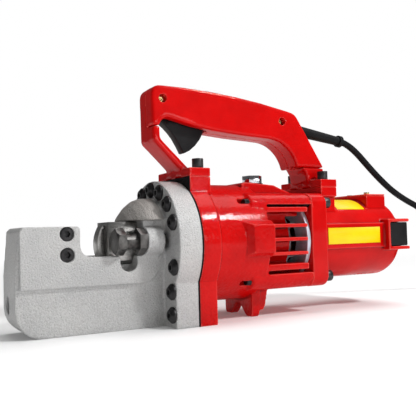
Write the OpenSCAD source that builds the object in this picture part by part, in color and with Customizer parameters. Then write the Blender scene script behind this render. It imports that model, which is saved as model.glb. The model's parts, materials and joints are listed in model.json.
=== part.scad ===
// Portable electro-hydraulic rebar cutter, 25 mm class.
// +X runs rearwards along the ram and the motor, -Y is the near side and +Z is up.
// Lengths along X are written from the joint between the cutter head and the pump housing;
// place() then moves every node so that the origin lies under the middle of the machine.

/* [Machine] */
// Height of the ram and motor axis above the base
axis_z = 85; // [80:0.5:90]
// X of the cutter head joint in the finished frame
joint_x = -63; // [-80:1:-50]
// Front of the cutter head's foot, from the joint
head_front = -179; // [-190:1:-165]
// Rear of the motor, from the joint
motor_rear = 305; // [290:1:320]

/* [Cutter head] */
// Thickness of the cutter head's flange
flange_t = 27; // [20:0.5:32]
// Radius of the round part of both flanges
flange_r = 69; // [60:0.5:75]
// Half the width of the flanges' straight lower part
flange_half_w = 57; // [50:0.5:62]
// Half the thickness of the jaw across its raised side plates
jaw_half_t = 33; // [28:0.5:38]
// How far the side plates stand proud of the web
plate_step = 4; // [2:0.5:6]
// Height of the jaw's upper edge
jaw_top = 106; // [100:0.5:112]
// Height of the throat's floor
throat_floor = 75.3; // [70:0.1:80]
// X of the throat's front wall
throat_wall = -117; // [-125:0.5:-110]

/* [Ram] */
// Radius of the ram
ram_r = 23; // [20:0.5:24]
// Half the width of the ram's fork
fork_half_w = 17.5; // [15:0.5:20]
// Radius of the cylinder bore
cylinder_r = 31; // [28:0.5:34]
// Stroke of the ram
stroke = 26; // [20:1:30]
// X of the moving blade's nose with the ram home
blade_nose = -91; // [-100:0.5:-85]

/* [Support bolt] */
// Radius of the support bolt's thread
bolt_r = 8; // [6:1:10]
// Sideways place of the support bolt
bolt_y = -35; // [-40:0.5:-32]
// Height of the support bolt
bolt_z = 89.5; // [88:0.5:92]

/* [Pump housing] */
// Thickness of the pump housing's flange
pump_flange_t = 21; // [18:0.5:25]
// Radius of the housing around the pump
pump_r = 66; // [60:0.5:68]
// Rear face of the pump housing
pump_end = 150; // [140:1:160]
// Half the width of the square section behind the pump
square_half = 54.5; // [50:0.5:58]
// Height of the front handle pad
front_pad_z = 157; // [150:0.5:160]
// X of the oil filler plug
filler_x = 104.5; // [100:0.5:108]

/* [Motor] */
// Radius of the motor housing
motor_r = 49; // [45:0.5:55]
// Inner radius of the motor housing
motor_bore = 45; // [42:0.5:48]
// Rear face of the motor flange
motor_flange_end = 172; // [165:1:180]
// Height of the rear handle pad
rear_pad_z = 147.5; // [140:0.5:150]
// X of the brush holders
brush_x = 285; // [280:1:295]

/* [Gear] */
// Gear module
gear_m = 1; // [0.8:0.1:1.5]
// Teeth on the motor's pinion
pinion_teeth = 14; // [12:1:18]
// Teeth on the reduction gear
wheel_teeth = 38; // [30:1:44]

/* [Handle] */
// Half the thickness of the handle
handle_half_t = 18.5; // [15:0.5:22]
// Half the width of the handle's feet
foot_half_w = 41; // [36:0.5:45]
// Thickness of the handle's feet
foot_t = 9.3; // [8:0.1:12]

/* [Cord] */
// Diameter of the mains cord
cord_d = 8.5; // [7:0.5:10]

/* [Hidden] */
$fn = 48;
cord_r = cord_d / 2;
gap = 0.03;
chamber_r = ram_r + 3;
wheel_z = axis_z - gear_m * (pinion_teeth + wheel_teeth) / 2;
red = [0.80, 0.07, 0.06];
cast_grey = [0.74, 0.74, 0.73];
steel = [0.62, 0.62, 0.63];
black = [0.08, 0.08, 0.09];
copper = [0.72, 0.42, 0.22];
brass = [0.80, 0.65, 0.32];
yellow = [0.98, 0.83, 0.05];

// Bolt circle of the cutter head: nine screws on the round part and two down each side
ring_angles = [for (a = [-22.5 : 22.5 : 202.5]) if (a != 0 && a != 180) a];
flange_bolts = concat(
    [for (a = ring_angles) [59.5 * cos(a), axis_z + 59.5 * sin(a)]],
    [for (s = [-1, 1], z = [13.5, 37]) [49 * s, z]]);
motor_bolts = [for (s = [-1, 1], t = [-1, 1]) [46.5 * s, axis_z + 43 * t]];
front_feet = [[15, -31], [15, 31]];
rear_feet = [[187.5, -30], [187.5, 30]];
blade_screws = [[-130, 98.6], [-130, 78.3]];
cover_screws = [[-18.6, 243.3], [138.5, 228]];
cover_bolts = [[261, -27], [281, 27]];
pivot = [-14, 227];
fork_front = -83;
baffle_r = 52;
blade_screw_x = -74;
lobe_x = [48, 62];
valve_at = [72, 88.5];

// The wound length of cord lies on the floor behind the machine, with its plug beside it
coil_at = [462, -20];
coil_r = 47;
coil_base = 1.6;
plug_x = 382;
plug_y = coil_at[1] - coil_r - cord_r;
plug_z = coil_base + 1.5 * cord_d;

// ---------- helpers ----------

// Moves a shape from joint coordinates into the finished frame
module place() {
    translate([joint_x, 0, 0]) children();
}

// Rod along X at a given Y and Z
module rod_x(x1, x2, r, y = 0, z = axis_z, r2 = -1) {
    translate([x1, y, z])
        rotate([0, 90, 0]) cylinder(h = x2 - x1, r1 = r, r2 = r2 < 0 ? r : r2);
}

// Rod along Y at a given X and Z
module rod_y(y1, y2, r, x, z) {
    translate([x, y1, z]) rotate([-90, 0, 0]) cylinder(h = y2 - y1, r = r);
}

// Rod along Z at a given X and Y
module rod_z(z1, z2, r, x, y) {
    translate([x, y, z1]) cylinder(h = z2 - z1, r = r);
}

// Ring about the machine's axis
module ring_x(x1, x2, r_in, r_out, z = axis_z) {
    difference() {
        rod_x(x1, x2, r_out, 0, z);
        rod_x(x1 - 1, x2 + 1, r_in, 0, z);
    }
}

// Box from its lowest and highest corners
module block(low, high) {
    translate(low) cube(high - low);
}

// Outline in X and Z, extruded along Y
module plate_y(y1, y2) {
    translate([0, y2, 0]) rotate([90, 0, 0]) linear_extrude(y2 - y1) children();
}

// Outline in Y and Z, extruded along X
module plate_x(x1, x2) {
    translate([x1, 0, 0]) rotate([90, 0, 90]) linear_extrude(x2 - x1) children();
}

// Hexagonal prism along X
module hex_x(x1, x2, across_flats, y, z) {
    translate([x1, y, z]) rotate([0, 90, 0])
        cylinder(h = x2 - x1, r = across_flats / sqrt(3), $fn = 6);
}

// Square with rounded corners, centred on the axis
module rounded_square(half, r) {
    translate([0, axis_z])
        offset(r) square(2 * (half - r), center = true);
}

// Socket screw along +Z with its shank below z = 0 and its head above
module socket_screw(shank_r, shank_l, head_r, head_h) {
    difference() {
        union() {
            translate([0, 0, -shank_l]) cylinder(h = shank_l, r = shank_r);
            cylinder(h = head_h, r = head_r);
        }
        translate([0, 0, head_h * 0.45]) cylinder(h = head_h, r = shank_r * 0.85, $fn = 6);
    }
}

// Tube through a list of points: one ring of sides at each point, square to the path
module tube(path, r, sides = 8) {
    n = len(path);
    unit = function (v) v / norm(v);
    along = [for (i = [0 : n - 1]) unit(path[min(i + 1, n - 1)] - path[max(i - 1, 0)])];
    across = [for (t = along) unit(cross(abs(t[2]) < 0.85 ? [0, 0, 1] : [0, 1, 0], t))];
    points = [for (i = [0 : n - 1], k = [0 : sides - 1])
        let (a = 360 * k / sides, up = cross(along[i], across[i]))
        path[i] + r * (cos(a) * across[i] + sin(a) * up)];
    walls = [for (i = [0 : n - 2], k = [0 : sides - 1])
        let (a = i * sides + k, b = i * sides + (k + 1) % sides)
        each [[a, a + sides, b + sides], [a, b + sides, b]]];
    first = [for (k = [0 : sides - 1]) k];
    last = [for (k = [sides - 1 : -1 : 0]) (n - 1) * sides + k];
    polyhedron(points, concat(walls, [first, last]), convexity = 6);
}

// Coil spring about X, Y or Z through the point given, with its ends tapering in pitch
module spring(start, axis, length, mean_r, wire_r, turns, steps = 14) {
    n = turns * steps;
    path = [for (i = [0 : n])
        let (a = 360 * i / steps, h = wire_r + (length - 2 * wire_r) * i / n,
             c = mean_r * cos(a), s = mean_r * sin(a))
        start + (axis == "x" ? [h, c, s] : axis == "y" ? [s, h, c] : [c, s, h])];
    tube(path, wire_r, 6);
}

// Involute spur gear outline about the origin, with tooth number 0 on the +Y side of its plane
module gear_outline(teeth, backlash = 0.1) {
    pitch_r = gear_m * teeth / 2;
    pressure = 25;
    base_r = pitch_r * cos(pressure);
    tip_r = pitch_r + 0.85 * gear_m;
    root_r = pitch_r - 1.15 * gear_m;
    involute = function (a) tan(a) * 180 / PI - a;
    half = function (r) 90 / teeth - backlash / pitch_r * 90 / PI
        + involute(pressure) - involute(acos(min(1, base_r / r)));
    low_r = max(base_r, root_r);
    radii = [root_r, for (i = [0 : 4]) low_r + (tip_r - low_r) * i / 4];
    polar = function (r, a) [r * sin(a), r * cos(a)];
    polygon([for (t = [0 : teeth - 1]) each concat(
        [for (r = radii) polar(r, 360 * t / teeth - half(max(r, low_r)))],
        [for (i = [len(radii) - 1 : -1 : 0])
            polar(radii[i], 360 * t / teeth + half(max(radii[i], low_r)))])]);
}

// ---------- cutter head ----------

// Shared outline of the head flange, gasket and pump flange
module flange_outline(grow = 0) {
    translate([0, axis_z]) circle(flange_r + grow, $fn = 96);
    translate([-flange_half_w - grow, 0]) square([2 * (flange_half_w + grow), 50]);
}

module flange_holes(x1, x2, r) {
    for (b = flange_bolts) rod_x(x1, x2, r, b[0], b[1]);
}

// Side outline of the jaw: hook, throat and the web under it
module jaw_outline() {
    corner = 26;
    draft = 3.5;
    polygon(concat(
        [for (a = [270 : -15 : 180])
            [head_front + corner + corner * cos(a), corner + corner * sin(a)]],
        [[head_front, 60], [head_front + draft, jaw_top - 4], [head_front + draft + 4, jaw_top],
         [throat_wall - 2, jaw_top], [throat_wall, jaw_top - 2]],
        [for (a = [180 : 15 : 270])
            [throat_wall + 12 + 12 * cos(a), throat_floor + 12 + 12 * sin(a)]],
        [[-flange_t + 1, throat_floor], [-flange_t + 1, 0]]));
}

// Raised side plate: the jaw outline above its lower edge, rounded at the rear
module raised_plate_outline() {
    plate_front = -175;
    intersection() {
        jaw_outline();
        union() {
            translate([plate_front, 46.6]) square([-52 - plate_front, 80]);
            translate([-53, 66.6]) circle(20);
            translate([-53, 66.6]) square([20, 20]);
        }
    }
}

// Cylinder nose: domed above the ram, cut back to a lug below
module cylinder_nose() {
    intersection() {
        translate([0, 0, axis_z]) rotate([0, 90, 0]) rotate_extrude($fn = 96)
            polygon([[0, -66], [26, -66], [34, -62.5], [42, -56], [47.5, -49], [50, -42],
                [50.5, -flange_t + 1], [0, -flange_t + 1]]);
        union() {
            block([-67, -60, 111], [-flange_t + 1, 60, 140]);
            block([-51.5, -jaw_half_t, 60], [-flange_t + 1, jaw_half_t, 112]);
        }
    }
}

module cutter_head() {
    web_half_t = jaw_half_t - plate_step;
    color(cast_grey) place() difference() {
        union() {
            plate_x(-flange_t, -1) flange_outline();
            plate_y(-web_half_t, web_half_t) jaw_outline();
            plate_y(-jaw_half_t, jaw_half_t) raised_plate_outline();
            cylinder_nose();
            rod_x(-51.5, -33.5, 14, bolt_y, bolt_z);
            block([-51.5, bolt_y, throat_floor - 1], [-33.5, bolt_y + 12, bolt_z + 14]);
        }
        // cradle under the ram, bush seat, spring chamber and cylinder bore
        rod_x(throat_wall, -51.5, ram_r + 0.6);
        rod_x(-52, -42, ram_r + 2.6);
        rod_x(-42.1, -26.9, chamber_r);
        rod_x(-27, 0, cylinder_r);
        // notch in the near side plate
        rod_y(-jaw_half_t - 1, -15, 9, -67, 68.3);
        block([-76, -jaw_half_t - 1, 68.3], [-58, -15, throat_floor + 1]);
        // pocket of the fixed blade, and room for the moving blade to pass it
        block([-141, -20, 70], [throat_wall + 1, -6.2, jaw_top + 1]);
        block([blade_nose - stroke - 5, -6.3, 60], [throat_wall + 1, 23, jaw_top + 1]);
        for (s = blade_screws) {
            rod_y(-jaw_half_t - 1, -24, 7, s[0], s[1]);
            rod_y(-25, -19, 4.2, s[0], s[1]);
        }
        rod_x(head_front - 1, head_front + 28, 8.75, 8, 31);
        rod_x(-52, -26, bolt_r + gap, bolt_y, bolt_z);
        flange_holes(-flange_t - 1, 0, 5.2);
    }
}

module flange_gasket() {
    color(black) place() difference() {
        plate_x(-1, 0) {
            flange_outline(0.4);
            translate([-foot_half_w, 120]) square([2 * foot_half_w, front_pad_z - 120]);
        }
        rod_x(-2, 1, cylinder_r + 1.5);
        flange_holes(-2, 1, 5.4);
    }
}

module fixed_blade() {
    color(steel) place() difference() {
        block([-140.9, -19.9, 70.1], [throat_wall + 0.5, -6.2, jaw_top - 2]);
        for (s = blade_screws) rod_y(-21, -8, 4, s[0], s[1]);
    }
}

module fixed_blade_screws() {
    color(black) place() for (s = blade_screws)
        translate([s[0], -24, s[1]]) rotate([90, 0, 0]) socket_screw(4, 14.5, 6.5, 8);
}

module flange_screws() {
    color(black) place() for (b = flange_bolts) difference() {
        union() {
            rod_x(-flange_t - 2, -flange_t, 8.4, b[0], b[1]);
            rod_x(-flange_t - 5.3, -flange_t - 2, 5, b[0], b[1], 8.4);
            rod_x(-flange_t, 10, 5, b[0], b[1]);
        }
        hex_x(-flange_t - 6, -flange_t - 2.2, 5, b[0], b[1]);
    }
}

module rod_bush() {
    color(brass) place() ring_x(-51, -42.2, ram_r + gap, ram_r + 2.6);
}

// ---------- ram ----------

module ram_piston() {
    color(steel) place() difference() {
        union() {
            intersection() {
                rod_x(fork_front, -52, ram_r);
                block([fork_front, -fork_half_w, 40], [-52, fork_half_w, 90]);
            }
            block([fork_front, -fork_half_w, axis_z], [-52, fork_half_w, axis_z + 25]);
            rod_x(-52.1, -1, ram_r);
            rod_x(-1, 19, cylinder_r - 0.05);
        }
        block([fork_front - 1, -4, 63.8], [-64, 9.05, 92.1]);
        rod_y(8, fork_half_w + 1, 4, blade_screw_x, 84);
        ring_x(7, 13, cylinder_r - 3, cylinder_r + 1);
    }
}

module piston_seal() {
    color(black) place() ring_x(7, 13, cylinder_r - 3, cylinder_r - 0.05);
}

module return_spring() {
    color(steel) place() spring([-41.7, 0, axis_z], "x", 40.4, ram_r + 1.6, 1.2, 5, 20);
}

module moving_blade() {
    nose_r = 37;
    color(steel) place() difference() {
        union() {
            plate_y(-6, 9) intersection() {
                translate([blade_nose + nose_r, axis_z + 2]) circle(nose_r, $fn = 96);
                translate([-100, 64]) square([fork_front + 99.8, 42.5]);
            }
            block([fork_front - 0.3, -3.9, 64], [-64.2, 9, 92]);
        }
        block([-86.4, -7, 78], [fork_front, -1.5, 103]);
        rod_y(5, 10, 4, blade_screw_x, 84);
    }
}

module moving_blade_screw() {
    color(black) place() difference() {
        rod_y(5, fork_half_w - 0.5, 4, blade_screw_x, 84);
        translate([blade_screw_x, fork_half_w, 84]) rotate([90, 0, 0]) cylinder(h = 4, r = 2.3, $fn = 6);
    }
}

// ---------- support bolt ----------

module support_bolt() {
    color(black) place() union() {
        intersection() {
            hex_x(-83.5, -74, 24, bolt_y, bolt_z);
            union() {
                rod_x(-83.5, -82, 11.6, bolt_y, bolt_z, 13.3);
                rod_x(-82, -74, 13.9, bolt_y, bolt_z);
            }
        }
        rod_x(-74, -29.5, bolt_r, bolt_y, bolt_z);
        rod_x(-29.5, -28.3, bolt_r, bolt_y, bolt_z, bolt_r - 1.2);
    }
}

module support_nut() {
    color(black) place() difference() {
        hex_x(-60, -51.5, 24, bolt_y, bolt_z);
        rod_x(-61, -51, bolt_r + gap, bolt_y, bolt_z);
    }
}

// ---------- pump housing ----------

// Cast block on each side of the housing, tapering outwards
module side_block(side) {
    hull() {
        block([50, min(side * 55, side * 62), 68], [88, max(side * 55, side * 62), 108]);
        block([60, min(side * 62, side * 72), 74], [86, max(side * 62, side * 72), 103]);
    }
}

// Two toes with an inverted V between them, and a rib behind
module leg() {
    plate_x(80, 90) polygon([[-32, 40], [-30, 3], [-28, 0], [-17, 0], [-14, 2], [-3, 14], [3, 14],
        [14, 2], [17, 0], [28, 0], [30, 3], [32, 40]]);
    for (s = [-1, 1]) plate_y(s * 27 - 3, s * 27 + 3)
        polygon([[89, 40], [89, 7], [95, 7], [98, 12], [104, 40]]);
}

module pump_shell() {
    plate_x(0, pump_flange_t) flange_outline();
    block([0, -foot_half_w, 120], [25, foot_half_w, front_pad_z]);
    rod_x(20, 84, pump_r);
    side_block(-1);
    side_block(1);
    plate_x(69, pump_end) rounded_square(square_half, 17);
    hull() {
        plate_x(57, 58) rounded_square(square_half - 9, 15);
        plate_x(69, 70) rounded_square(square_half, 17);
    }
    plate_y(-24, 24) polygon([[75, 120], [75, 151], [79, 153], [92, 152.3], [120, 150],
        [128, 146.5], [148, 139.5], [148, 120]]);
    rod_z(120, 151.5, 14, filler_x, 0);
    leg();
}

// Horizontal cooling fins across both side windows
module fins() {
    for (f = [[52, 7], [68.5, 4], [84.5, 4], [100, 4], [117.5, 5.5]], s = [-1, 1])
        translate([86, s > 0 ? 30 : -square_half, f[0]])
            cube([58, square_half - 30, f[1]]);
}

module pump_housing() {
    drum_r = 41;
    color(red) place() difference() {
        union() {
            difference() {
                pump_shell();
                for (s = [-1, 1]) translate([88, s > 0 ? 34 : -80, 48]) cube([70, 46, 78]);
                rod_x(127, pump_end + 1, 43);
                rod_x(144.5, pump_end + 1, baffle_r);
            }
            rod_x(84, 127, drum_r);
            difference() {
                intersection() {
                    fins();
                    plate_x(80, pump_end) rounded_square(square_half, 17);
                }
                rod_x(126, pump_end, 43);
            }
        }
        // cylinder bore, pump chamber, oil chamber with room for the reduction gear
        rod_x(-1, 25, cylinder_r);
        rod_x(24, 84, 46);
        rod_x(83, 112, 35);
        rod_x(83, 112, 22.5, 0, wheel_z);
        // motor shaft bearing, seal and clearance
        rod_x(111, 128, 9);
        rod_x(112, 122, 16);
        rod_x(122, 128, 13);
        flange_holes(-1, 10.5, 5);
        for (b = motor_bolts) rod_x(54, pump_end + 1, 4.2, b[0], b[1]);
        for (f = front_feet) rod_z(front_pad_z - 22, front_pad_z + 1, 4, f[0], f[1]);
        // oil filler and release valve
        rod_z(110, 152, 7, filler_x, 0);
        rod_z(151.5, 154, 13.4, filler_x, 0);
        rod_y(45, 61, 5 + gap, valve_at[0], valve_at[1]);
        rod_y(59.7, 73, 8.3, valve_at[0], valve_at[1]);
    }
}

module filler_plug() {
    color([0.85, 0.86, 0.88]) place() union() {
        rod_z(128, 153.5, 6.97, filler_x, 0);
        translate([filler_x, 0, 153.5]) rotate([0, 0, 42]) cylinder(h = 9, r = 12, $fn = 6);
    }
}

module filler_washer() {
    color(black) place() difference() {
        rod_z(151.5, 153.5, 12.8, filler_x, 0);
        rod_z(150, 154, 7, filler_x, 0);
    }
}

// ---------- pump ----------

module pump_block() {
    color(steel) place() difference() {
        rod_x(24, 83.5, 46);
        rod_x(27, 84, 11.5, 0, wheel_z);
        for (x = lobe_x) {
            rod_z(wheel_z, 132, 4 + gap, x, 0);
            rod_z(wheel_z + 19, 132, 6, x, 0);
        }
        rod_x(23, 63, 1.5, 0, 106);
        rod_y(30, 47, 5 + gap, valve_at[0], valve_at[1]);
    }
}

module pump_plungers() {
    color(steel) place() for (x = lobe_x) union() {
        rod_z(wheel_z + 11.2, wheel_z + 34, 4, x, 0);
        rod_z(wheel_z + 20, wheel_z + 22, 5.8, x, 0);
    }
}

module plunger_springs() {
    color(steel) place() for (x = lobe_x)
        spring([x, 0, wheel_z + 22.3], "z", 27, 5, 0.6, 6, 12);
}

module pump_plugs() {
    color(black) place() for (x = lobe_x) difference() {
        rod_z(wheel_z + 50, 130.5, 6, x, 0);
        translate([x, 0, 126]) cylinder(h = 6, r = 3, $fn = 6);
    }
}

module eccentric_shaft() {
    color(steel) place() union() {
        rod_x(28.5, 108, 6, 0, wheel_z);
        rod_x(lobe_x[0] - 4, lobe_x[0] + 4, 8.6, 0, wheel_z + 2.5);
        rod_x(lobe_x[1] - 4, lobe_x[1] + 4, 8.6, 0, wheel_z - 2.5);
    }
}

module reduction_gear() {
    color(steel) place() difference() {
        translate([96, 0, wheel_z]) rotate([90, 0, 90]) linear_extrude(11)
            rotate(180 / wheel_teeth) gear_outline(wheel_teeth);
        rod_x(95, 108, 6, 0, wheel_z);
        for (a = [0 : 60 : 300]) rod_x(95, 108, 3, 11.5 * cos(a), wheel_z + 11.5 * sin(a));
    }
}

module eccentric_bearings() {
    color(brass) place() for (x = [[29, 38], [73, 83]]) ring_x(x[0], x[1], 6 + gap, 11.5, wheel_z);
}

module release_valve() {
    color(black) place() difference() {
        union() {
            rod_y(31, 61, 5, valve_at[0], valve_at[1]);
            rod_y(60, 69.8, 8, valve_at[0], valve_at[1]);
        }
        translate([valve_at[0], 71, valve_at[1]]) rotate([90, 0, 0])
            cylinder(h = 6, r = 4, $fn = 6);
    }
}

// ---------- motor ----------

module armature_shaft() {
    color(steel) place() union() {
        translate([95.5, 0, axis_z]) rotate([90, 0, 90]) linear_extrude(12.5)
            rotate(180) gear_outline(pinion_teeth);
        rod_x(107.5, 295, 6);
        rod_x(295, 302, 4);
    }
}

module armature_core() {
    color(steel) place() difference() {
        rod_x(187, 249, 26.9);
        rod_x(186, 250, 6);
        for (a = [0 : 30 : 330]) rotate_about_axis(a) block([186, -1.2, axis_z + 19], [250, 1.2, axis_z + 28]);
    }
}

// Turns a shape about the motor's axis
module rotate_about_axis(a) {
    translate([0, 0, axis_z]) rotate([a, 0, 0]) translate([0, 0, -axis_z]) children();
}

module armature_windings() {
    color(copper) place() {
        for (x = [[176, 187, 15, 23], [249, 262, 23, 13]])
            difference() {
                rod_x(x[0], x[1], x[2], 0, axis_z, x[3]);
                rod_x(x[0] - 1, x[1] + 1, 6);
            }
    }
}

module commutator() {
    color(copper) place() difference() {
        ring_x(272, 294, 6, 15);
        for (a = [0 : 15 : 345]) rotate_about_axis(a) block([271, -0.3, axis_z + 13], [292, 0.3, axis_z + 16]);
    }
}

module fan() {
    color([0.35, 0.37, 0.40]) place() difference() {
        union() {
            rod_x(128.5, 139.5, 10);
            rod_x(129, 131, 38);
            for (a = [0 : 30 : 330]) rotate_about_axis(a)
                block([130, -1, axis_z + 15], [139.5, 1, axis_z + 38]);
        }
        rod_x(128, 141, 6);
    }
}

module armature_bearings() {
    color(steel) place() {
        ring_x(112, 122, 6 + gap, 16);
        ring_x(295.5, 302, 4 + gap, 11);
    }
}

module shaft_seal() {
    color(black) place() ring_x(122, 128, 6 + gap, 13);
}

module fan_baffle() {
    color([0.55, 0.60, 0.68]) place() {
        ring_x(146.5, 149.5, 27, baffle_r);
        ring_x(144.6, 147, baffle_r - 2.5, baffle_r);
    }
}

module stator_core() {
    color(steel) place() {
        ring_x(186, 250, 37, motor_bore);
        intersection() {
            ring_x(186, 250, 27.5, 37.5);
            union() for (s = [0, 180]) rotate_about_axis(s)
                plate_x(186, 250) translate([0, axis_z])
                    polygon([[0, 0], for (a = [34 : 14 : 146]) 60 * [cos(a), sin(a)]]);
        }
    }
}

module field_windings() {
    color(copper) place() union() {
        ring_x(176, 185.7, 29.5, 36.5);
        ring_x(250.3, 260, 29.5, 36.5);
        intersection() {
            ring_x(180, 256, 29.5, 36.5);
            union() for (s = [0, 180]) rotate_about_axis(s + 90)
                plate_x(180, 256) translate([0, axis_z])
                    polygon([[0, 0], for (a = [62 : 14 : 118]) 60 * [cos(a), sin(a)]]);
        }
    }
}

// U-shaped guard around one brush cap
module brush_guard(side) {
    low = min(side * 40, side * 59);
    high = max(side * 40, side * 59);
    for (z = [69, 103.5]) block([266, low, z], [motor_rear - 3.5, high, z + 4]);
    block([266, low, 70], [269, high, 106]);
}

module motor_shell() {
    plate_x(pump_end, motor_flange_end) rounded_square(square_half, 14);
    rod_x(motor_flange_end - 1, 290, motor_r, $fn = 96);
    translate([0, 0, axis_z]) rotate([0, 90, 0]) rotate_extrude($fn = 96)
        polygon([[0, 289], [motor_r, 289], [motor_r, 290], [47, 295.5], [41, 301], [34, 304],
            [26, motor_rear], [0, motor_rear]]);
    for (s = [-1, 1]) {
        block([motor_flange_end - 1, min(s * 40, s * 51), 73], [266, max(s * 40, s * 51), 103]);
        brush_guard(s);
    }
    block([176, -foot_half_w, 136], [200, foot_half_w, rear_pad_z]);
    block([motor_flange_end - 1, -37, 108], [200, 37, 137]);
    difference() {
        block([255, -33, 115], [287, 33, 138]);
        difference() {
            block([258, -30, 120], [284, 30, 139]);
            for (c = cover_bolts) rod_z(119, 140, 5, c[0], c[1]);
        }
    }
    intersection() {
        rod_x(255, 287, motor_r);
        block([255, -33, 100], [287, 33, 138]);
    }
}

module motor_housing() {
    color(red) place() difference() {
        union() {
            difference() {
                motor_shell();
                rod_x(pump_end - 1, 290, motor_bore);
                rod_x(290, 298, motor_bore, 0, axis_z, 36);
            }
            rod_x(294, 303, 15);
        }
        rod_x(293, 302, 11);
        for (b = motor_bolts) rod_x(pump_end - 1, motor_flange_end + 1, 4.2, b[0], b[1]);
        for (f = rear_feet) rod_z(rear_pad_z - 20, rear_pad_z + 1, 4, f[0], f[1]);
        for (s = [-1, 1]) rod_y(min(s * 38, s * 60), max(s * 38, s * 60), 7, brush_x, axis_z + 2.5);
        // air inlets under the rear of the motor
        for (k = [0 : 4]) translate([252 + 6 * k, -16, 30]) cube([3, 32, 18]);
        for (c = cover_bolts) rod_z(126, 139, 1.6, c[0], c[1]);
    }
}

module motor_screws() {
    color(black) place() for (b = motor_bolts) translate([motor_flange_end, b[0], b[1]])
        rotate([0, 90, 0]) socket_screw(4.2, 110, 6.5, 8);
}

module brush_tubes() {
    color(brass) place() for (s = [-1, 1]) difference() {
        rod_y(min(s * 20, s * 47), max(s * 20, s * 47), 7, brush_x, axis_z + 2.5);
        translate([brush_x - 4.05, min(s * 19, s * 48), axis_z - 1.55]) cube([8.1, 29, 8.1]);
    }
}

module carbon_brushes() {
    color([0.15, 0.15, 0.16]) place() for (s = [-1, 1])
        translate([brush_x - 4, s > 0 ? 15.3 : -31, axis_z - 1.5]) cube([8, 15.7, 8]);
}

module brush_springs() {
    color(steel) place() for (s = [-1, 1])
        spring([brush_x, s > 0 ? 31.2 : -46.8, axis_z + 2.5], "y", 15.6, 3, 0.4, 6, 10);
}

module brush_caps() {
    color(black) place() for (s = [-1, 1]) difference() {
        block([269.8, min(s * 45, s * 57), 73.6], [299.8, max(s * 45, s * 57), 103]);
        rod_x(268, 302, motor_r + gap, $fn = 96);
    }
}

module terminal_cover() {
    color(red) place() difference() {
        block([255, -33, 138], [287, 33, 140]);
        for (c = cover_bolts) rod_z(137, 142, 1.8, c[0], c[1]);
    }
}

module terminal_screws() {
    color(brass) place() for (c = cover_bolts) translate([c[0], c[1], 140])
        socket_screw(1.6, 14, 3.4, 2.4);
}

module side_label() {
    color(yellow) place() block([176, -51.4, 78.5], [258, -51, 98]);
}

module top_label() {
    color(yellow) place() intersection() {
        ring_x(206, 250, motor_r, motor_r + 0.4);
        block([200, -34, 118], [252, 34, 136]);
    }
}

// ---------- handle ----------

// Side outline of the handle: front leg, grip and rear leg
module handle_outline() {
    polygon(concat(
        [[2, 165], [-31, 197], [-31.5, 247]],
        [for (a = [170 : -20 : 90]) [-22 + 9.5 * cos(a), 248.5 + 9.5 * sin(a)]],
        [[10, 257.6], [43, 255.8], [75, 252.8], [107, 248.6], [148, 241.2]],
        [for (a = [80 : -16 : 32]) [150 + 14 * cos(a), 226.5 + 14 * sin(a)]],
        [[199.8, 175], [200, 155]],
        [[174, 155], [172.5, 165], [167, 174]],
        [for (a = [10 : 10 : 90]) [118 + 42 * cos(a), 164 + 42 * sin(a)]],
        [[105, 206.8], [75, 208.5], [45, 211.2], [18, 215.3], [-8, 221.4]],
        [for (a = [70 : 22 : 180]) [-13 + 9.5 * cos(a), 213 + 9.5 * sin(a)]],
        [[-22.5, 200], [14, 165]]));
}

// Hollow inside the grip
module grip_hollow() {
    plate_y(-14, 14) polygon([[-9, 251.5], [43, 250.5], [105, 243.5], [129, 239], [129, 221.5],
        [149, 220.5], [149, 213], [105, 211.5], [75, 214], [45, 217], [42, 230], [-5, 232]]);
}

// Slot in the grip's underside for the trigger
module trigger_slot() {
    plate_y(-6.4, 6.4) polygon([[-20.5, 205], [-20.5, 235], [-9, 246], [41, 246], [41, 205]]);
}

// Path of the cord sleeve through the rear of the grip
module along_sleeve(x1, x2, r, r2 = -1) {
    translate([136, 0, 227]) rotate([0, 90 + 8.6, 0]) translate([0, 0, x1])
        cylinder(h = x2 - x1, r1 = r, r2 = r2 < 0 ? r : r2);
}

// The near half of the handle above its front leg's joint line
module cover_region() {
    polygon([[-60, 213.4], [20, 213.4], [20, 173], [230, 173], [230, 280], [-60, 280]]);
}

module handle_body() {
    difference() {
        children();
        grip_hollow();
        trigger_slot();
        along_sleeve(11, 80, 7.05);
        along_sleeve(16, 22, 10.05);
        rod_y(-15.5, 15.5, 2.5, pivot[0], pivot[1]);
    }
}

module handle_base() {
    color(red) place() difference() {
        union() {
            handle_body() {
                difference() {
                    plate_y(-handle_half_t, handle_half_t) handle_outline();
                    plate_y(-handle_half_t - 1, 0) cover_region();
                }
            }
            block([0, -foot_half_w, front_pad_z], [25, foot_half_w, front_pad_z + foot_t]);
            block([176, -foot_half_w, rear_pad_z], [200, foot_half_w, rear_pad_z + foot_t]);
        }
        for (f = front_feet) rod_z(front_pad_z - 1, front_pad_z + 12, 4.3, f[0], f[1]);
        for (f = rear_feet) rod_z(rear_pad_z - 1, rear_pad_z + 12, 4.3, f[0], f[1]);
        for (s = cover_screws) rod_y(-1, 10, 2, s[0], s[1]);
    }
}

module handle_cover() {
    color(red) place() difference() {
        handle_body() {
            intersection() {
                plate_y(-handle_half_t, -0.05) handle_outline();
                plate_y(-handle_half_t, 0) cover_region();
            }
        }
        for (s = cover_screws) {
            rod_y(-handle_half_t - 1, -9, 4.6, s[0], s[1]);
            rod_y(-10, 0, 2.2, s[0], s[1]);
        }
    }
}

module handle_cover_screws() {
    color(brass) place() for (s = cover_screws)
        translate([s[0], -9, s[1]]) rotate([90, 0, 0]) socket_screw(2, 18, 4.2, 3);
}

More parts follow.
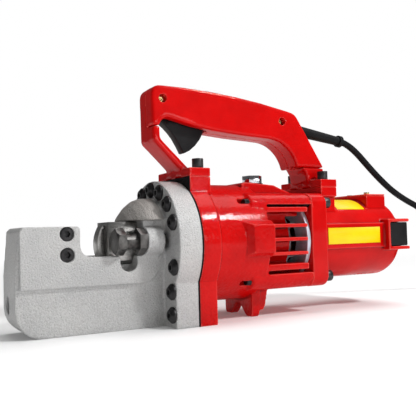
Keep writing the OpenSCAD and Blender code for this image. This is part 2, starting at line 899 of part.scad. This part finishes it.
module handle_screws() {
    color(black) place() {
        for (f = front_feet) translate([f[0], f[1], front_pad_z + foot_t])
            socket_screw(4, 28, 6.2, 10.5);
        for (f = rear_feet) translate([f[0], f[1], rear_pad_z + foot_t])
            socket_screw(4, 26, 6.2, 10.5);
    }
}

module trigger() {
    color(black) place() difference() {
        plate_y(-6, 6) polygon(concat(
            [[-18.6, 222.5], [-17, 220.8], [-9.7, 214.9], [-4, 209.3], [1, 203.3], [6.3, 194.6],
             [10.4, 186.6], [12, 186]],
            [[18.5, 189.2], [25.7, 195.1], [31.7, 202.2], [36, 210], [38, 218.5]],
            [[37, 221], [24, 228], [15, 231.5]],
            [for (a = [90 : 30 : 180]) pivot + 4.8 * [cos(a), sin(a)]]));
        rod_y(-7, 7, 2.5 + gap, pivot[0], pivot[1]);
    }
}

module trigger_pin() {
    color(steel) place() rod_y(-15.3, 15.3, 2.5, pivot[0], pivot[1]);
}

module trigger_spring() {
    color(steel) place() spring([25, 0, 228.2], "z", 10, 3, 0.5, 4, 12);
}

module switch_body() {
    color([0.18, 0.18, 0.2]) place() difference() {
        block([-2, -11, 238.5], [38, 11, 249.8]);
        rod_z(238, 248.7, 3 + 0.05, 10, 0);
    }
}

module switch_plunger() {
    color([0.7, 0.1, 0.1]) place() rod_z(231.8, 242.3, 3, 10, 0);
}

// ---------- cord ----------

module cord_sleeve() {
    color(black) place() union() {
        along_sleeve(16.2, 21.8, 10);
        along_sleeve(12, 40, 7);
        along_sleeve(40, 104, 7, 5.8);
        along_sleeve(104, 109, 7.6);
    }
}

// Route of the cord from the sleeve's end, down behind the machine and over the coil
cord_route = [
    [243.8, 0, 210.7], [250, 0, 209.3], [262, 0, 203.6], [275, 0, 194.2], [288, 0, 182.9],
    [302, 0, 171], [316, 0, 160], [331, 0, 149.5], [346, 0, 141], [362, 0, 133.4], [380, 0, 125.8],
    [398, 1, 116.5], [416, 3.5, 105], [432, 8, 92.5], [446, 13, 80], [460, 17.8, 66.5],
    [473.3, 20, 54], [483.6, 18.6, 45], [493.3, 14.6, 37.8], [501.5, 8.3, 32], [507.9, 0, 27.6],
    [511.9, -9.6, 24.7], [513.25, -20, 23.2], [512.4, -29, 22.85]];

module cord_run() {
    color(black) place() tube(cord_route, cord_r, 10);
}

// Outer shape of the wound length: two turns wide and three high
module cord_coil() {
    color(black) place() translate([coil_at[0], coil_at[1], coil_base])
        rotate_extrude($fn = 64) translate([coil_r - cord_d, 0]) square([2 * cord_d, 3 * cord_d]);
}

module coil_tie() {
    color([0.2, 0.2, 0.22]) place() difference() {
        translate([coil_at[0] - coil_r - cord_d - 1.3, coil_at[1] - 4, coil_base - 1.3])
            cube([2 * cord_d + 2.6, 8, 3 * cord_d + 2.6]);
        translate([coil_at[0] - coil_r - cord_d, coil_at[1] - 5, coil_base])
            cube([2 * cord_d, 10, 3 * cord_d]);
    }
}

module mains_plug() {
    color(black) place() union() {
        difference() {
            translate([plug_x, plug_y - 13, plug_z - 14.2]) cube([36, 26, 28.4]);
            for (s = [-1, 1], t = [-1, 1]) translate([plug_x + 18, plug_y + s * 13, plug_z + t * 14.2])
                rotate([45, 0, 0]) cube([40, 5, 5], center = true);
        }
        rod_x(plug_x + 36, plug_x + 74, 8, plug_y, plug_z, 5.4);
    }
}

module plug_pins() {
    color(brass) place() {
        for (s = [-1, 1]) translate([plug_x - 16, plug_y + s * 6.35 - 0.75, plug_z - 1])
            cube([16, 1.5, 6.4]);
        rod_x(plug_x - 19, plug_x, 2.4, plug_y, plug_z - 8);
    }
}

cutter_head();
flange_gasket();
pump_housing();
motor_housing();
fixed_blade();
fixed_blade_screws();
flange_screws();
rod_bush();
ram_piston();
piston_seal();
return_spring();
moving_blade();
moving_blade_screw();
support_bolt();
support_nut();
filler_plug();
filler_washer();
pump_block();
pump_plungers();
plunger_springs();
pump_plugs();
eccentric_shaft();
reduction_gear();
eccentric_bearings();
release_valve();
armature_shaft();
armature_core();
armature_windings();
commutator();
fan();
armature_bearings();
shaft_seal();
fan_baffle();
stator_core();
field_windings();
motor_screws();
brush_tubes();
carbon_brushes();
brush_springs();
brush_caps();
terminal_cover();
terminal_screws();
side_label();
top_label();
handle_base();
handle_cover();
handle_cover_screws();
handle_screws();
trigger();
trigger_pin();
trigger_spring();
switch_body();
switch_plunger();
cord_sleeve();
cord_run();
cord_coil();
coil_tie();
mains_plug();
plug_pins();
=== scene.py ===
"""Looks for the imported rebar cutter: camera, mains cord, surfaces, floor and lights.

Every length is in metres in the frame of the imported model: +X runs rearwards along the ram and the
motor, -Y is the near side, +Z is up, and the floor is Z = 0.
"""

import json
import math

import bpy
from mathutils import Matrix, Vector


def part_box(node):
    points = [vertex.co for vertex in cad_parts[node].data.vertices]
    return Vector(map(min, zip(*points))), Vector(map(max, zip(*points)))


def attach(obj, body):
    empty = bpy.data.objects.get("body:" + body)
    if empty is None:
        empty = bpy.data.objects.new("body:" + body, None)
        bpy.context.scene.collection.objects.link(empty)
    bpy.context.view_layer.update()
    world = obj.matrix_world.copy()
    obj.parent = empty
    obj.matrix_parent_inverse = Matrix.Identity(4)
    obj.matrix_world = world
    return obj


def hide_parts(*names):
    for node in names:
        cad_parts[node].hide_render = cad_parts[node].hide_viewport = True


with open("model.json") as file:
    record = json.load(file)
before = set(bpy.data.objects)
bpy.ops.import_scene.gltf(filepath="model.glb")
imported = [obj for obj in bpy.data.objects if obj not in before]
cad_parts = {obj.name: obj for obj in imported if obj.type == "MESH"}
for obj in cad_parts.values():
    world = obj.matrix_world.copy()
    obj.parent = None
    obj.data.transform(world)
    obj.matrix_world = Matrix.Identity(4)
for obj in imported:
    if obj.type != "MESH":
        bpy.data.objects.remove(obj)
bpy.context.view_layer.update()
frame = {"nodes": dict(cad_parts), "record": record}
NODES = frame["nodes"]

# ---------- camera ----------

EYE = Vector((-0.3531, -0.6090, 0.0956))
YAW, PITCH, ROLL = (math.radians(a) for a in (28.7, 2.4, -1.6))
LENS_MM = 52.3
SENSOR_MM = 36.0


def place_camera():
    """A level-ish view from the front left, turned YAW from straight across, with a slight roll."""
    forward = Vector(
        (math.sin(YAW) * math.cos(PITCH), math.cos(YAW) * math.cos(PITCH), math.sin(PITCH))
    )
    level_right = Vector((math.cos(YAW), -math.sin(YAW), 0.0))
    level_up = level_right.cross(forward)
    right = math.cos(ROLL) * level_right + math.sin(ROLL) * level_up
    up = math.cos(ROLL) * level_up - math.sin(ROLL) * level_right
    data = bpy.data.cameras.new("camera")
    data.lens = LENS_MM
    data.sensor_width = SENSOR_MM
    data.clip_start = 0.01
    camera = bpy.data.objects.new("camera", data)
    bpy.context.collection.objects.link(camera)
    camera.matrix_world = (
        Matrix.Translation(EYE) @ Matrix((right, up, -forward)).transposed().to_4x4()
    )
    bpy.context.scene.camera = camera


place_camera()

# ---------- mains cord ----------

CORD_D = 0.0085
# From the sleeve in the grip, down behind the machine and over the coil, on a smooth curve
CORD_ROUTE = [
    (0.1808, 0.0, 0.2107), (0.187, 0.0, 0.2093), (0.199, 0.0, 0.2036), (0.212, 0.0, 0.1942),
    (0.225, 0.0, 0.1829), (0.239, 0.0, 0.171), (0.253, 0.0, 0.16), (0.268, 0.0, 0.1495),
    (0.283, 0.0, 0.141), (0.299, 0.0, 0.1334), (0.317, 0.0, 0.1258), (0.335, 0.001, 0.1165),
    (0.353, 0.0035, 0.105), (0.369, 0.008, 0.0925), (0.383, 0.013, 0.08), (0.397, 0.0178, 0.0665),
    (0.4103, 0.02, 0.054), (0.4206, 0.0186, 0.045), (0.4303, 0.0146, 0.0378),
    (0.4385, 0.0083, 0.032), (0.4449, 0.0, 0.0276), (0.4489, -0.0096, 0.0247),
    (0.45025, -0.02, 0.0232), (0.4494, -0.029, 0.02285),
]
COIL_AT = Vector((0.399, -0.020))
COIL_BASE = 0.0016
INNER_R, OUTER_R = (0.047 - CORD_D / 2, 0.047 + CORD_D / 2)
LAYER_Z = [COIL_BASE + CORD_D * (k + 0.5) for k in range(3)]
# The winding in order: the cell that each turn lies in, and the angle at which the cord leaves it
# for the next one. The cord runs clockwise, so the angles fall.
COIL_CELLS = [
    (OUTER_R, LAYER_Z[2], -250.0), (INNER_R, LAYER_Z[2], -572.5), (INNER_R, LAYER_Z[1], -895.0),
    (INNER_R, LAYER_Z[0], -1217.5), (OUTER_R, LAYER_Z[0], -1540.0), (OUTER_R, LAYER_Z[1], -1890.0),
]
CROSSING_DEG = 90.0
COIL_START_DEG = -20.0


def smooth_line(points, step=0.003):
    """Points about step apart on a Catmull-Rom curve through the points given."""
    points = [Vector(p) for p in points]
    ends = [2 * points[0] - points[1], *points, 2 * points[-1] - points[-2]]
    line = []
    for a, b, c, d in zip(ends, ends[1:], ends[2:], ends[3:]):
        count = max(1, round((c - b).length / step))
        for k in range(count):
            t = k / count
            line.append(
                0.5
                * (
                    2 * b
                    + (c - a) * t
                    + (2 * a - 5 * b + 4 * c - d) * t**2
                    + (3 * b - a - 3 * c + d) * t**3
                )
            )
    return [*line, points[-1]]


def coil_points(step_deg=5.0):
    """Centreline of the wound length, one cell of the coil after another."""
    points = []
    angle = COIL_START_DEG
    for k, (radius, height, leaves) in enumerate(COIL_CELLS):
        last = k == len(COIL_CELLS) - 1
        while angle > leaves:
            points.append((radius, height, angle))
            angle -= step_deg
        if last:
            points.append((radius, height, leaves))
            continue
        next_radius, next_height, _ = COIL_CELLS[k + 1]
        while angle > leaves - CROSSING_DEG:
            t = (leaves - angle) / CROSSING_DEG
            t = t * t * (3 - 2 * t)
            points.append(
                (radius + (next_radius - radius) * t, height + (next_height - height) * t, angle)
            )
            angle -= step_deg
    return [
        Vector((COIL_AT.x + r * math.cos(math.radians(a)), COIL_AT.y + r * math.sin(math.radians(a)), z))
        for r, z, a in points
    ]


def curve_tube(name, points, radius):
    """A round tube along the points, as a curve of one open spline."""
    data = bpy.data.curves.new(name, "CURVE")
    data.dimensions = "3D"
    data.bevel_depth = 1.0
    data.bevel_resolution = 5
    data.use_fill_caps = True
    spline = data.splines.new("POLY")
    spline.points.add(len(points) - 1)
    for point, place in zip(spline.points, points):
        point.co = (*place, 1.0)
        point.radius = radius
    tube = bpy.data.objects.new(name, data)
    bpy.context.collection.objects.link(tube)
    return tube


plug_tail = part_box("mains_plug")[1].x
cord_points = smooth_line(CORD_ROUTE) + coil_points()
cord_points.append(Vector((plug_tail - 0.012, cord_points[-1].y, cord_points[-1].z)))
cord = curve_tube("mains_cord", cord_points, CORD_D / 2)
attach(cord, "housing")
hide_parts("cord_run", "cord_coil")

# ---------- materials ----------


SOCKETS = {
    "metallic": "Metallic",
    "specular": "Specular IOR Level",
    "coat": "Coat Weight",
    "coat_roughness": "Coat Roughness",
    "anisotropic": "Anisotropic",
}


class Paint:
    """A material with one Principled BSDF, and short calls for the nodes that feed it."""

    def __init__(self, name, **constants):
        self.material = bpy.data.materials.new(name)
        self.material.use_nodes = True
        self.tree = self.material.node_tree
        self.shader = self.tree.nodes["Principled BSDF"]
        for socket, value in constants.items():
            self.shader.inputs[SOCKETS[socket]].default_value = value
        self.coordinates = self.tree.nodes.new("ShaderNodeTexCoord").outputs["Object"]

    def node(self, kind, settings=None, **inputs):
        """A new node, with its settings and its inputs given as values or as other nodes' outputs."""
        made = self.tree.nodes.new(kind)
        for key, value in (settings or {}).items():
            setattr(made, key, value)
        for key, value in inputs.items():
            socket = made.inputs[key if key in made.inputs else key.replace("_", " ")]
            if isinstance(value, bpy.types.NodeSocket):
                self.tree.links.new(value, socket)
            else:
                socket.default_value = value
        return made

    def stretched(self, scale):
        """Object coordinates multiplied by a scale for each axis."""
        return self.node("ShaderNodeMapping", Vector=self.coordinates, Scale=scale).outputs[0]

    def noise(self, scale, detail=3.0, roughness=0.55, vector=None):
        return self.node(
            "ShaderNodeTexNoise",
            Vector=vector or self.coordinates,
            Scale=scale,
            Detail=detail,
            Roughness=roughness,
        ).outputs["Fac"]

    def cells(self, scale, vector=None):
        return self.node(
            "ShaderNodeTexVoronoi", Vector=vector or self.coordinates, Scale=scale
        ).outputs["Distance"]

    def between(self, value, low, high, to_low=0.0, to_high=1.0):
        """value mapped from low..high to to_low..to_high, and clamped."""
        return self.node(
            "ShaderNodeMapRange",
            Value=value,
            **{"From Min": low, "From Max": high, "To Min": to_low, "To Max": to_high},
        ).outputs["Result"]

    def blend(self, factor, first, second):
        """Colour between first and second."""
        made = self.node("ShaderNodeMix", {"data_type": "RGBA"})
        for socket, value in zip((made.inputs[0], made.inputs[6], made.inputs[7]), (factor, first, second)):
            if isinstance(value, bpy.types.NodeSocket):
                self.tree.links.new(value, socket)
            else:
                socket.default_value = (*value, 1.0) if isinstance(value, tuple) else value
        return made.outputs[2]

    def sum(self, first, second, weight):
        """first plus second times weight."""
        made = self.node("ShaderNodeMath", {"operation": "MULTIPLY_ADD"})
        made.inputs[1].default_value = weight
        self.tree.links.new(second, made.inputs[0])
        self.tree.links.new(first, made.inputs[2])
        return made.outputs[0]

    def edges(self, low=0.52, high=0.62):
        """1 on convex edges and 0 elsewhere."""
        return self.between(self.tree.nodes.new("ShaderNodeNewGeometry").outputs["Pointiness"], low, high)

    def grooves(self, low=0.45, high=0.493):
        """1 in inner corners and 0 elsewhere."""
        return self.edges(high, low)

    def inside(self, low, high, soft=0.0012):
        """1 inside the box from low to high, in metres, falling to 0 over the soft distance."""
        axes = self.node("ShaderNodeSeparateXYZ", Vector=self.coordinates).outputs
        factor = None
        for axis, near, far in zip(axes, low, high):
            for edge, out in ((near, near - soft), (far, far + soft)):
                side = self.between(axis, out, edge)
                factor = side if factor is None else self.product(factor, side)
        return factor

    def product(self, first, second):
        made = self.node("ShaderNodeMath", {"operation": "MULTIPLY"})
        self.tree.links.new(first, made.inputs[0])
        self.tree.links.new(second, made.inputs[1])
        return made.outputs[0]

    def colour(self, output):
        self.tree.links.new(output, self.shader.inputs["Base Color"])

    def rough(self, output):
        self.tree.links.new(output, self.shader.inputs["Roughness"])

    def bump(self, height, distance, strength=1.0):
        normal = self.node("ShaderNodeBump", Height=height, Distance=distance, Strength=strength)
        self.tree.links.new(normal.outputs["Normal"], self.shader.inputs["Normal"])


def red_paint():
    """Glossy red, smooth on the handle and the motor, and over a sand-cast skin on the pump housing."""
    p = Paint("red_paint", coat=0.25, coat_roughness=0.03, specular=0.04)
    cloud = p.noise(28.0, 4.0)
    flat = p.blend(p.between(cloud, 0.3, 0.7), (0.52, 0.001, 0.001), (0.66, 0.002, 0.002))
    # Painted shade: inner corners and the gaps between the fins darkened to a deep red
    painted_corner_shade = p.blend(p.grooves(), flat, (0.10, 0.0, 0.0))
    # Painted highlight: convex edges lightened to a bright red
    p.colour(p.blend(p.edges(0.525, 0.575), painted_corner_shade, (1.0, 0.12, 0.10)))
    p.rough(p.between(p.noise(120.0), 0.3, 0.7, 0.30, 0.42))
    low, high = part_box("pump_housing")
    sand = p.inside(low, high, 0.003)
    waves = p.noise(70.0, 2.0)
    grain = p.product(p.sum(p.noise(330.0, 5.0, 0.65), p.cells(240.0), 0.7), sand)
    skin = p.sum(waves, grain, 1.6)
    p.bump(skin, 0.0007, 0.6)
    glaze = p.node("ShaderNodeBump", Height=skin, Distance=0.0007, Strength=0.10)
    p.tree.links.new(glaze.outputs["Normal"], p.shader.inputs["Coat Normal"])
    return p.material


def cast_silver():
    """Sand casting painted silver, with the cylinder's nose turned bright."""
    p = Paint("cast_silver", metallic=0.4, specular=0.45)
    grain = p.noise(850.0, 4.0, 0.72)
    pits = p.between(p.cells(420.0), 0.05, 0.5)
    cloud = p.noise(24.0, 3.0)
    base = p.blend(p.between(cloud, 0.35, 0.65), (0.50, 0.50, 0.50), (0.60, 0.595, 0.585))
    speck = p.blend(p.between(grain, 0.36, 0.60), (0.28, 0.275, 0.27), (0.78, 0.78, 0.78))
    cast = p.blend(0.3, base, speck)
    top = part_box("cutter_head")[1]
    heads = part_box("flange_screws")[0]
    nose = p.inside((top.x - 0.068, -0.06, top.z - 0.043), (heads.x, 0.06, top.z), 0.001)
    turned = p.noise(40.0, 5.0, 0.75, p.stretched((14.0, 1.0, 1.0)))
    metal = p.blend(p.between(turned, 0.3, 0.7), (0.30, 0.28, 0.26), (0.46, 0.44, 0.42))
    p.colour(p.blend(nose, cast, metal))
    p.rough(p.between(grain, 0.3, 0.7, 0.60, 0.42))
    p.bump(p.sum(grain, pits, 0.6), 0.0008, 0.9)
    return p.material


def ground_steel():
    p = Paint("ground_steel", metallic=1.0, anisotropic=0.35)
    lines = p.noise(90.0, 6.0, 0.7, p.stretched((1.0, 14.0, 14.0)))
    cloud = p.noise(60.0, 3.0)
    p.colour(p.blend(p.between(cloud, 0.3, 0.7), (0.30, 0.295, 0.285), (0.48, 0.47, 0.455)))
    p.rough(p.between(lines, 0.3, 0.7, 0.22, 0.40))
    p.bump(lines, 0.00012, 0.4)
    return p.material


def black_oxide():
    """Blackened steel, with a painted highlight that lightens the support bolt and its nut to grey, and
    painted highlights on the convex edges.
    """
    p = Paint("black_oxide", metallic=0.75)
    cloud = p.noise(180.0, 4.0)
    mottle = p.between(cloud, 0.35, 0.65)
    dark = p.blend(mottle, (0.014, 0.0135, 0.0145), (0.045, 0.043, 0.045))
    # Painted highlight: the support bolt and its nut lightened to grey
    bolt_painted_highlight = p.blend(mottle, (0.055, 0.052, 0.05), (0.14, 0.135, 0.13))
    low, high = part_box("support_bolt")
    steel = p.blend(p.inside(low, high, 0.0005), dark, bolt_painted_highlight)
    # Painted highlight: convex edges lightened to grey
    p.colour(p.blend(p.edges(0.54, 0.68), steel, (0.20, 0.19, 0.185)))
    p.rough(p.between(cloud, 0.3, 0.7, 0.26, 0.45))
    p.bump(p.noise(900.0, 3.0), 0.0002, 0.5)
    return p.material


def chrome():
    p = Paint("chrome", metallic=1.0)
    smear = p.noise(140.0, 4.0)
    p.colour(p.blend(p.between(smear, 0.3, 0.7), (0.42, 0.43, 0.46), (0.62, 0.63, 0.66)))
    p.rough(p.between(smear, 0.35, 0.7, 0.05, 0.16))
    p.bump(p.noise(500.0, 2.0), 0.0001, 0.15)
    return p.material


def black_rubber():
    p = Paint("black_rubber", specular=0.12)
    fine = p.noise(1400.0, 3.0)
    cloud = p.noise(40.0, 3.0)
    p.colour(p.blend(p.between(cloud, 0.3, 0.7), (0.003, 0.003, 0.0035), (0.009, 0.009, 0.010)))
    p.rough(p.between(fine, 0.3, 0.7, 0.48, 0.66))
    p.bump(fine, 0.00015, 0.5)
    return p.material


def black_plastic():
    p = Paint("black_plastic", specular=0.14)
    spark = p.cells(1500.0)
    cloud = p.noise(60.0, 3.0)
    p.colour(p.blend(p.between(cloud, 0.3, 0.7), (0.006, 0.006, 0.007), (0.013, 0.013, 0.014)))
    p.rough(p.between(cloud, 0.3, 0.7, 0.34, 0.5))
    p.bump(spark, 0.00012, 0.5)
    return p.material


def turned_metal(name, dark, light, low=0.2, high=0.4, metallic=1.0):
    """Turned or plated bright metal with tool marks round X."""
    p = Paint(name, metallic=metallic)
    marks = p.noise(600.0, 3.0, 0.6, p.stretched((1.0, 0.15, 0.15)))
    cloud = p.noise(90.0, 3.0)
    p.colour(p.blend(p.between(cloud, 0.3, 0.7), dark, light))
    p.rough(p.between(marks, 0.3, 0.7, low, high))
    p.bump(marks, 0.0001, 0.35)
    return p.material


def copper():
    p = Paint("copper", metallic=1.0)
    wires = p.node(
        "ShaderNodeTexWave", Vector=p.coordinates, Scale=260.0, Distortion=1.5, Detail=2.0
    ).outputs["Fac"]
    p.colour(p.blend(wires, (0.30, 0.10, 0.045), (0.72, 0.33, 0.17)))
    p.rough(p.between(wires, 0.0, 1.0, 0.45, 0.25))
    p.bump(wires, 0.0004, 0.6)
    return p.material


def carbon():
    p = Paint("carbon", specular=0.4)
    grain = p.noise(1200.0, 4.0)
    p.colour(p.blend(p.between(grain, 0.3, 0.7), (0.02, 0.02, 0.02), (0.07, 0.07, 0.07)))
    p.rough(p.between(grain, 0.3, 0.7, 0.5, 0.75))
    p.bump(grain, 0.0002, 0.4)
    return p.material


def yellow_label():
    p = Paint("yellow_label", coat=0.08, coat_roughness=0.2, specular=0.2)
    cloud = p.noise(45.0, 3.0)
    p.colour(p.blend(p.between(cloud, 0.3, 0.7), (0.88, 0.62, 0.001), (0.96, 0.72, 0.002)))
    p.rough(p.between(cloud, 0.3, 0.7, 0.32, 0.45))
    p.bump(p.noise(300.0, 2.0), 0.0002, 0.12)
    return p.material


MATERIALS = {
    "red_paint": red_paint(),
    "cast_silver": cast_silver(),
    "ground_steel": ground_steel(),
    "black_oxide": black_oxide(),
    "chrome": chrome(),
    "black_rubber": black_rubber(),
    "black_plastic": black_plastic(),
    "bronze": turned_metal("bronze", (0.42, 0.26, 0.10), (0.58, 0.38, 0.17)),
    "zinc_yellow": turned_metal("zinc_yellow", (0.55, 0.40, 0.16), (0.78, 0.64, 0.34), 0.18, 0.34),
    "fan_alloy": turned_metal("fan_alloy", (0.42, 0.44, 0.48), (0.60, 0.62, 0.66), 0.4, 0.6, 0.5),
    "baffle_steel": turned_metal("baffle_steel", (0.52, 0.56, 0.64), (0.68, 0.72, 0.80), 0.4, 0.6, 0.4),
    "copper": copper(),
    "carbon": carbon(),
    "yellow_label": yellow_label(),
}

for part in frame["record"]["subparts"]:
    mesh = NODES[part["node"]].data
    mesh.materials.clear()
    mesh.materials.append(MATERIALS[part["material_slot"]])
cord.data.materials.append(MATERIALS["black_rubber"])

# ---------- edges of the CAD pieces ----------

# Castings: remeshed at the first length, then smoothed the number of times given
CASTINGS = {
    "cutter_head": (0.0011, 3),
    "pump_housing": (0.0011, 2),
    "motor_housing": (0.0011, 3),
    "handle_base": (0.0008, 2),
    "handle_cover": (0.0008, 2),
}
ROUNDED = {
    "brush_caps": 0.0025,
    "trigger": 0.0022,
    "mains_plug": 0.003,
    "terminal_cover": 0.0012,
    "coil_tie": 0.0008,
}
MACHINED_EDGE = 0.0004


def cast_edges(name, voxel, passes):
    """A voxel remesh and a smoothing that round every edge of a casting."""
    remesh = NODES[name].modifiers.new("cast", "REMESH")
    remesh.mode = "VOXEL"
    remesh.voxel_size = voxel
    remesh.use_smooth_shade = True
    smooth = NODES[name].modifiers.new("soften", "SMOOTH")
    smooth.factor = 0.5
    smooth.iterations = passes


def full_round(name, passes):
    """A blur of the shape away from the seam, the feet and the screws, for the grip's large radii."""
    tree = bpy.data.node_groups.new("round_" + name, "GeometryNodeTree")
    tree.interface.new_socket("Geometry", in_out="INPUT", socket_type="NodeSocketGeometry")
    tree.interface.new_socket("Geometry", in_out="OUTPUT", socket_type="NodeSocketGeometry")

    def node(kind, settings, *links):
        made = tree.nodes.new(kind)
        for key, value in settings.items():
            setattr(made, key, value)
        for index, value in links:
            if isinstance(value, bpy.types.NodeSocket):
                tree.links.new(value, made.inputs[index])
            else:
                made.inputs[index].default_value = value
        return made.outputs

    def ramp(value, low, high):
        return node("ShaderNodeMapRange", {}, (0, value), (1, low), (2, high))[0]

    def times(a, b):
        return node("ShaderNodeMath", {"operation": "MULTIPLY"}, (0, a), (1, b))[0]

    group_in = tree.nodes.new("NodeGroupInput").outputs[0]
    position = tree.nodes.new("GeometryNodeInputPosition").outputs[0]
    aside = node("ShaderNodeSeparateXYZ", {}, (0, position))[1]
    aside = node("ShaderNodeMath", {"operation": "ABSOLUTE"}, (0, aside))[0]
    weight = times(ramp(aside, 0.005, 0.008), ramp(aside, 0.0205, 0.0195))
    low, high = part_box("handle_cover_screws")
    reach = 0.004
    for centre in ((low.x + reach, 0.0, high.z - reach), (high.x - reach, 0.0, low.z + reach)):
        flat = node("ShaderNodeVectorMath", {"operation": "MULTIPLY"}, (0, position), (1, (1, 0, 1)))[0]
        span = node("ShaderNodeVectorMath", {"operation": "DISTANCE"}, (0, flat), (1, centre))
        weight = times(weight, ramp(span["Value"], 0.0075, 0.0105))
    blur = tree.nodes.new("GeometryNodeBlurAttribute")
    blur.data_type = "FLOAT_VECTOR"
    tree.links.new(position, [i for i in blur.inputs if i.enabled and i.name == "Value"][0])
    blur.inputs["Iterations"].default_value = passes
    tree.links.new(weight, blur.inputs["Weight"])
    place = tree.nodes.new("GeometryNodeSetPosition")
    tree.links.new(group_in, place.inputs["Geometry"])
    tree.links.new([o for o in blur.outputs if o.enabled][0], place.inputs["Position"])
    tree.links.new(place.outputs[0], tree.nodes.new("NodeGroupOutput").inputs[0])
    NODES[name].modifiers.new("rounding", "NODES").node_group = tree


def bevelled(name, width, segments=2):
    """Rounded edges on a machined or moulded piece."""
    weld = NODES[name].modifiers.new("weld", "WELD")
    weld.merge_threshold = 0.00001
    bevel = NODES[name].modifiers.new("edges", "BEVEL")
    bevel.width = width
    bevel.segments = segments
    bevel.limit_method = "ANGLE"
    bevel.angle_limit = math.radians(35)
    bevel.harden_normals = True
    bevel.use_clamp_overlap = True
    for polygon in NODES[name].data.polygons:
        polygon.use_smooth = True


for name, (voxel, passes) in CASTINGS.items():
    cast_edges(name, voxel, passes)
for name in ("handle_base", "handle_cover"):
    full_round(name, 26)
for name in NODES:
    if name not in CASTINGS and name not in ("cord_run", "cord_coil"):
        bevelled(name, ROUNDED.get(name, MACHINED_EDGE), 4 if name in ROUNDED else 2)

# ---------- floor and lights ----------


def add_floor():
    material = bpy.data.materials.new("floor")
    material.use_nodes = True
    shader = material.node_tree.nodes["Principled BSDF"]
    shader.inputs["Base Color"].default_value = (0.85, 0.85, 0.85, 1)
    shader.inputs["Roughness"].default_value = 0.8
    shader.inputs["Specular IOR Level"].default_value = 0.0
    shader.inputs["Emission Color"].default_value = (1.0, 1.0, 1.0, 1)
    # The lamps reach the near floor only, so the far floor glows more and the two look alike
    nodes, links = material.node_tree.nodes, material.node_tree.links
    distance = nodes.new("ShaderNodeVectorMath")
    distance.operation = "LENGTH"
    links.new(nodes.new("ShaderNodeTexCoord").outputs["Object"], distance.inputs[0])
    glow = nodes.new("ShaderNodeMapRange")
    glow.inputs["From Min"].default_value = 0.5
    glow.inputs["From Max"].default_value = 2.5
    glow.inputs["To Min"].default_value = 0.10
    glow.inputs["To Max"].default_value = 0.45
    links.new(distance.outputs["Value"], glow.inputs["Value"])
    links.new(glow.outputs["Result"], shader.inputs["Emission Strength"])
    bpy.ops.mesh.primitive_plane_add(size=120, location=(0, 0, 0))
    floor = bpy.context.object
    floor.name = "floor"
    floor.data.materials.append(material)


def area_light(name, place, target, size, watts):
    data = bpy.data.lights.new(name, "AREA")
    data.shape = "RECTANGLE"
    data.size, data.size_y = size
    data.energy = watts
    light = bpy.data.objects.new(name, data)
    bpy.context.collection.objects.link(light)
    light.location = place
    light.rotation_euler = (Vector(target) - Vector(place)).to_track_quat("-Z", "Y").to_euler()


def overhead_light(direction, watts):
    """Even light from above, as from a wide ceiling panel."""
    data = bpy.data.lights.new("overhead", "SUN")
    data.energy = watts
    data.angle = math.radians(50)
    light = bpy.data.objects.new("overhead", data)
    bpy.context.collection.objects.link(light)
    light.location = direction
    light.rotation_euler = (-Vector(direction)).to_track_quat("-Z", "Y").to_euler()


add_floor()
world = bpy.data.worlds.new("studio")
world.use_nodes = True
background = world.node_tree.nodes["Background"]
background.inputs["Color"].default_value = (1.0, 1.0, 1.0, 1.0)
seen = world.node_tree.nodes.new("ShaderNodeLightPath").outputs["Is Camera Ray"]
level = world.node_tree.nodes.new("ShaderNodeMapRange")
level.inputs["To Min"].default_value = 0.14
level.inputs["To Max"].default_value = 1.0
world.node_tree.links.new(seen, level.inputs["Value"])
world.node_tree.links.new(level.outputs["Result"], background.inputs["Strength"])
bpy.context.scene.world = world
bpy.context.scene.view_settings.view_transform = "Standard"
area_light("key", (0.70, -0.95, 1.15), (0.0, 0.0, 0.10), (0.25, 0.18), 15)
area_light("side", (0.35, -1.6, 0.35), (0.0, 0.0, 0.10), (0.7, 0.25), 3)
overhead_light((0.30, 0.10, 1.0), 1.9)
